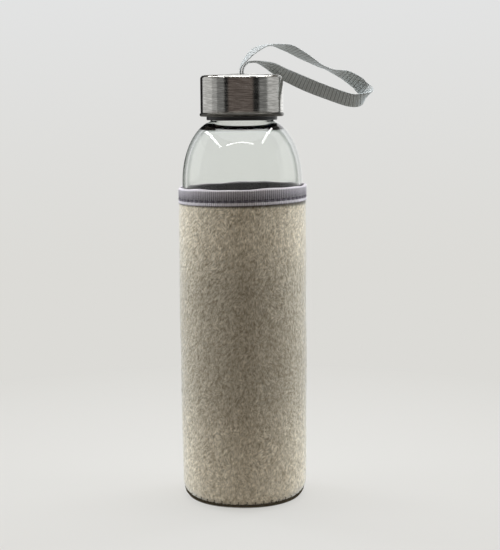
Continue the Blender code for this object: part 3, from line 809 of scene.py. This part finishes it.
def spun_thread(name, dark, pale):
    """Spun polyester sewing thread: matt, with paler plies along its twist."""
    made, tree, out = new_finish(name)
    place = put(tree, "ShaderNodeTexCoord").outputs["Object"]
    ply = put(tree, "ShaderNodeTexNoise", {"Vector": place, "Scale": 2400, "Detail": 2})
    shade = put(tree, "ShaderNodeMix", {
        0: ply.outputs["Fac"], 6: linear(dark), 7: linear(pale),
    }, data_type="RGBA")
    bump = put(tree, "ShaderNodeBump", {"Height": ply.outputs["Fac"], "Strength": 0.5, "Distance": 0.0001})
    shader = put(tree, "ShaderNodeBsdfPrincipled", {
        "Base Color": shade.outputs[2], "Roughness": 0.7, "Normal": bump.outputs["Normal"],
        "Sheen Weight": 0.2, "Sheen Roughness": 0.4,
    })
    tree.links.new(shader.outputs[0], out.inputs[0])
    return made


dark_thread = spun_thread("spun_polyester_thread_dark", "38301F", "74684D")
seam_z = np.arange(0.0102, 0.1616, 0.00022)
zigzag = ZIGZAG_OUT * (2 / pi) * np.arcsin(np.sin(seam_z * tau / ZIGZAG_LONG))
seam = sewing_thread(
    "side_seam_zigzag", np.stack([zigzag, np.full_like(seam_z, SEAM_R), seam_z], 1), 0.0002,
    dark_thread,
)
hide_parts("side_seam_thread")
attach(seam, "sleeve")


# ---- Base -----------------------------------------------------------------------------------
# A disc of knit-faced foam, 2.4 mm thick, die-cut and sewn in at its edge. It carries the glass
# and is what stands on a table.
BASE_R = 0.0297
BASE_THICK = 0.0024
BASE_ROUND = 0.0007
base_outline = [(0, 0), (0.01, 0), (0.02, 0)]
base_outline += arc((BASE_R - BASE_ROUND, BASE_ROUND), (BASE_ROUND, BASE_ROUND), -90, 0, 5)
base_outline += arc((BASE_R - BASE_ROUND, BASE_THICK - BASE_ROUND), (BASE_ROUND, BASE_ROUND), 0, 90, 5)
base_outline += [(0.02, BASE_THICK), (0.01, BASE_THICK), (0, BASE_THICK)]
base = turned("foam_base_disc", base_outline, foam_finish("knit_faced_foam", "191816", "2E2B27"), 96)
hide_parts("base_disc")
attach(base, "sleeve")


# ---- Base overlock --------------------------------------------------------------------------
# Dark overlock thread wraps the edge where base and cover meet. Every few millimetres a loop
# bites further up into the plush.
OVERLOCK_R = 0.0307
OVERLOCK_Z = 0.00125
LOOPS = 45
TURNS = 4                   # of the thread round the edge, for each loop
TURN_R = 0.00085
BITE_OUT, BITE_UP = 0.0018, 0.0023
lap = np.linspace(0, tau, LOOPS * TURNS * 12 + 1)[:-1]
coil = lap * LOOPS * TURNS
bite = (0.5 + 0.5 * np.cos(lap * LOOPS)) ** 2.2 * np.clip(np.sin(coil + 0.9), 0, 1)
coil_r = OVERLOCK_R + TURN_R * np.cos(coil) + BITE_OUT * bite
coil_z = OVERLOCK_Z + TURN_R * np.sin(coil) + BITE_UP * bite
overlock = sewing_thread(
    "base_overlock_coil", np.stack([coil_r * np.cos(lap), coil_r * np.sin(lap), coil_z], 1),
    0.00032, dark_thread, closed=True, sides=5,
)
core_outline = arc((OVERLOCK_R, OVERLOCK_Z), (0.00072, 0.0006), 0, 330, 11)
take_in(overlock, turned("overlock_core", core_outline, dark_thread, 160))
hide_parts("base_overlock")
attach(overlock, "sleeve")


# ---- Edge binding ---------------------------------------------------------------------------
# Mauve-grey ribbed tape, folded over the sleeve's top edge. Its fold is rounded and catches the
# light, and the sewing pulls a shallow valley into it near its lower edge.
BINDING_R = 0.03475
BINDING_Z = (0.1633, 0.1718)
STITCH_Z = 0.1656
STITCHES = 60
TAPE_RIBS = 182
FOLD_TALL = 0.0011
TAPE_END_Z = 0.1667         # lower edge of the tape inside the sleeve
tape_low, tape_high = BINDING_Z
tape_inside = BOTTLE_R + 0.0003
tape_middle = (tape_inside + BINDING_R) / 2
tape_outline = [(0.0342, tape_low), (0.0345, tape_low - 0.00005), (0.0347, tape_low + 0.0001)]
tape_outline += line((BINDING_R, tape_low + 0.0002), (BINDING_R, tape_high - FOLD_TALL), 22)
tape_outline += arc((tape_middle, tape_high - FOLD_TALL), (BINDING_R - tape_middle, FOLD_TALL), 0, 180, 12)
tape_outline += line((tape_inside, tape_high - FOLD_TALL), (tape_inside, TAPE_END_Z), 6)
tape_outline += [(tape_inside, TAPE_END_Z), (tape_inside + 0.0003, TAPE_END_Z)]
tape_outline += [(tape_inside + 0.0003, 0.1705)]
tape_outline += [(tape_middle - 0.0003, 0.1710), (0.0339, 0.1710), (0.0341, 0.1705), (0.0341, 0.1660)]


def tape_relief(r, z, angle):
    """Ribs across the tape, the valley of the stitching, a puckered lip and a wavy fold."""
    outer = r > tape_middle
    rib = 0.00007 * np.cos(angle * TAPE_RIBS) * outer * (z > tape_low + 0.0001)
    dip = np.exp(-((z - STITCH_Z) / 0.0006) ** 2) * outer
    pull = 0.00026 + 0.00026 * np.clip(np.cos(angle * STITCHES), -0.3, 1)
    pucker = 0.00012 * np.cos(angle * STITCHES) * np.clip(1 - (z - tape_low) / 0.0018, 0, 1)
    high = np.clip((z - 0.1665) / 0.005, 0, 1)
    wave = 0.0002 * np.sin(angle * 5 + 0.6) + 0.00013 * np.sin(angle * 11 + 2)
    return r + rib - dip * pull + pucker * outer, rim_lift(r, z, angle) + high * wave


def tape_finish():
    """Woven polyester tape: mauve grey with a dry lustre, and painted light and shade from each point's
    level: painted shade between its ribs and a painted highlight on them.
    """
    made, tree, out = new_finish("ribbed_binding_tape")
    place = put(tree, "ShaderNodeTexCoord").outputs["Object"]
    level = put(tree, "ShaderNodeAttribute", attribute_name="relief")
    fuzz = put(tree, "ShaderNodeTexNoise", {"Vector": place, "Scale": 1800, "Detail": 3})
    speck = put(tree, "ShaderNodeMath", {0: fuzz.outputs["Fac"], 1: 0.5}, operation="MULTIPLY")
    both = put(tree, "ShaderNodeMath", {0: level.outputs["Fac"], 1: speck.outputs[0]}, operation="ADD")
    high = put(tree, "ShaderNodeMapRange", {"Value": both.outputs[0], "From Min": 0.1, "From Max": 1.3})
    tone = put(tree, "ShaderNodeMix", {
        0: high.outputs[0], 6: linear("39343B"), 7: linear("E0D9DD"),
    }, data_type="RGBA")
    bump = put(tree, "ShaderNodeBump", {"Height": fuzz.outputs["Fac"], "Strength": 0.4, "Distance": 0.00012})
    shader = put(tree, "ShaderNodeBsdfPrincipled", {
        "Base Color": tone.outputs[2], "Roughness": 0.75, "Normal": bump.outputs["Normal"],
        "Sheen Weight": 0.5, "Sheen Roughness": 0.4, "Sheen Tint": linear("E2DEDF"),
    })
    tree.links.new(shader.outputs[0], out.inputs[0])
    return made


binding = turned("edge_binding_tape", tape_outline, tape_finish(), TAPE_RIBS * 8, tape_relief)
tape_points = np.array([v.co for v in binding.data.vertices])
tape_angle = np.arctan2(tape_points[:, 1], tape_points[:, 0])
tape_z = tape_points[:, 2] - rim_lift(BINDING_R, tape_high, tape_angle) + tape_high
tape_wave = np.cos(tape_angle * STITCHES)
tape_inner = np.hypot(tape_points[:, 0], tape_points[:, 1]) < tape_middle - 0.0002
# Painted light and shade on the tape: painted highlights on its fold and lower lip and a lighter top, and
# painted shade between its ribs, in the stitched valley, along its lower edge and on its inner leg inside.
tape_level = (
    0.1 + 0.17 * np.cos(tape_angle * TAPE_RIBS + 0.5 * np.sin(tape_angle * 23))
    + 0.3 * np.clip((tape_z - 0.1672) / 0.003, 0, 1) + 0.85 * np.clip((tape_z - 0.1706) / 0.0008, 0, 1)
    + 0.75 * np.clip((0.1652 - tape_z) / 0.0004, 0, 1) * (1 - 0.2 * np.cos(tape_angle * 171))
    - 1.1 * np.exp(-((tape_z - STITCH_Z) / 0.00045) ** 2) * np.clip(0.65 - 0.6 * tape_wave, 0, 1)
    - 0.9 * np.clip((0.1637 - tape_z) / 0.0004, 0, 1) - 0.9 * tape_inner
)
store_levels(binding, tape_level)
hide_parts("edge_binding")
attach(binding, "sleeve")


# ---- Binding stitch -------------------------------------------------------------------------
# Lockstitch in a thread a shade darker than the tape. It shows as dashes in the valley and dips
# out of sight at each needle hole.
mauve_thread = spun_thread("spun_polyester_thread_mauve", "4A444C", "8C848E")
sewn = np.linspace(0, tau, STITCHES * 16 + 1)[:-1]
depth = np.cos(sewn * STITCHES)
stitch_r = BINDING_R + 0.00002 - 0.0004 * np.clip(depth, 0, 1) ** 2
stitch_z = rim_lift(stitch_r, np.full_like(sewn, STITCH_Z), sewn)
stitch = sewing_thread(
    "binding_lockstitch", np.stack([stitch_r * np.cos(sewn), stitch_r * np.sin(sewn), stitch_z], 1),
    0.00018, mauve_thread, closed=True,
)
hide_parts("binding_stitch")
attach(stitch, "sleeve")


# ---- Studio ---------------------------------------------------------------------------------
# A pale floor that sweeps up into a pale wall, a bright ceiling, bright sides and a dim front.
# Dark uprights stand among the bright ones and show as bars in the steel.
def glowing(name, colour, strength):
    """A surface that gives an even light."""
    made, tree, out = new_finish(name)
    glow = put(tree, "ShaderNodeEmission", {"Color": linear(colour), "Strength": strength})
    tree.links.new(glow.outputs[0], out.inputs[0])
    return made


def sweep_finish():
    """Matt white paper near the bottle, which fades into an even glow further off."""
    made, tree, out = new_finish("matt_paper_sweep")
    place = put(tree, "ShaderNodeTexCoord").outputs["Object"]
    parts = put(tree, "ShaderNodeSeparateXYZ", {0: place})
    height = put(tree, "ShaderNodeMapRange", {"Value": parts.outputs[2], "From Min": 0.0, "From Max": 0.5})
    colour = put(tree, "ShaderNodeMix", {
        0: height.outputs[0], 6: linear("DCDBD7"), 7: linear("E4E5E6"),
    }, data_type="RGBA")
    flat = put(tree, "ShaderNodeVectorMath", {0: place}, operation="LENGTH")
    far = put(tree, "ShaderNodeMapRange", {
        "Value": flat.outputs[1], "From Min": 0.05, "From Max": 0.35, "To Min": 0.78,
    })
    paper = put(tree, "ShaderNodeBsdfDiffuse", {"Color": linear("D4D2CE")})
    glow = put(tree, "ShaderNodeEmission", {"Color": colour.outputs[2]})
    both = put(tree, "ShaderNodeMixShader", {0: far.outputs[0], 1: paper.outputs[0], 2: glow.outputs[0]})
    tree.links.new(both.outputs[0], out.inputs[0])
    return made


FLOOR_Z = -0.0004
SWEEP_R = 0.9
sweep_outline = [(r, FLOOR_Z) for r in (0, 0.05, 0.1, 0.3, 0.6, SWEEP_R)]
sweep_outline += arc((SWEEP_R, SWEEP_R), (SWEEP_R, SWEEP_R - FLOOR_Z), -90, 0, 24)[1:]
sweep_outline += [(1.8, 2.4), (1.85, 2.4), (1.85, -0.05), (0, -0.05)]
sweep = turned("paper_sweep", sweep_outline, sweep_finish(), 96)
sweep.visible_glossy = False
sweep.visible_diffuse = False


def card(piece, *hidden):
    """A studio card: it lights the bottle, and neither the camera nor the glass sees it."""
    for ray in ("visible_camera", "visible_transmission", "visible_shadow", *hidden):
        setattr(piece, ray, False)


# Uprights round the bottle: from and to in degrees, 0 in front and 90 on its right, then the
# colour and strength of the light that they give.
PANELS = [
    (-180, -172, "FFFFFF", 0.72), (-172, -138, "FFFFFF", 0.02), (-138, -122, "FFFFFF", 0.72),
    (-122, -90, "FFFFFF", 0.68), (-90, -72, "FFFFFF", 0.45),
    (-72, -49, "FFFFFF", 0.22), (-49, -37, "FFFFFF", 0.015), (-37, 31, "FFE9DF", 0.13),
    (31, 49, "FFFFFF", 0.015), (49, 75, "FFFFFF", 0.22), (75, 125, "FFFFFF", 0.6),
    (125, 135, "FFFFFF", 0.05), (135, 180, "FFFFFF", 1.1),
]
PANEL_R = 1.0
PANEL_TOP = 0.72
for number, (start, end, colour, strength) in enumerate(PANELS):
    angles = np.radians(np.linspace(start, end, max(2, round((end - start) / 4))))
    rows = [[(PANEL_R * sin(a), -PANEL_R * cos(a), z) for a in angles] for z in (-0.01, PANEL_TOP)]
    card(skin(
        f"studio_panel_{number}", rows, glowing(f"panel_light_{number}", colour, strength),
        ring_closed=False,
    ), "visible_diffuse")
ceiling = [(0, 1.60), (1.1, 1.60), (1.1, 1.61), (0, 1.61)]
card(turned("ceiling_card", ceiling, glowing("ceiling_light", "FBFCFF", 1.7), 64), "visible_diffuse")
floor_card = [(0.036, -0.003), (0.7, -0.003), (0.7, -0.004), (0.036, -0.004)]
card(turned("floor_bounce", floor_card, glowing("floor_light", "FFFDF8", 0.5), 64))

# Three strip lights above show as white streaks on the glass shoulder.
STRIPS = {
    "left": ((-1.0, -0.75, 1.2), (-1.0, 0.9, 1.15)),
    "front": ((-0.85, -1.0, 1.47), (0.6, -1.0, 1.47)),
    "right": ((0.85, -0.62, 1.25), (0.85, 0.8, 1.35)),
}
for name, (start, end) in STRIPS.items():
    ends = [Vector(start), Vector(end)]
    rows = [[point + Vector((0, 0, tall)) for point in ends] for tall in (-0.06, 0.06)]
    card(skin(f"strip_light_{name}", rows, glowing(f"strip_glow_{name}", "FFFFFF", 14), ring_closed=False),
         "visible_diffuse")


def lamp(name, place, target, size, power, colour):
    """A soft light that isn't mirrored in steel or glass."""
    light = bpy.data.lights.new(name, "AREA")
    light.shape = "RECTANGLE"
    light.size, light.size_y = size
    light.energy = power
    light.color = linear(colour)[:3]
    made = bpy.data.objects.new(name, light)
    made.location = place
    made.rotation_euler = (Vector(target) - Vector(place)).to_track_quat("-Z", "Y").to_euler()
    made.visible_camera = False
    made.visible_glossy = False
    made.visible_transmission = False
    scene.collection.objects.link(made)


lamp("overhead", (0, 0.25, 1.3), (0, 0.05, 0), (1.2, 1.0), 20.0, "FBFCFF")
for side, name in ((-1, "left"), (1, "right")):
    for degrees, power in ((90, 6.0), (122, 9.6)):
        turned_to = radians(degrees) * side
        place = (sin(turned_to), -cos(turned_to), 0.25)
        lamp(f"side_{name}_{degrees}", place, (0, 0, 0.12), (0.3, 0.9), power, "EDF6FF")

world = bpy.data.worlds.new("room")
world.use_nodes = True
sky = world.node_tree.nodes["Background"]
sky.inputs["Color"].default_value = linear("FFF1E2")
sky.inputs["Strength"].default_value = 0.125
scene.world = world
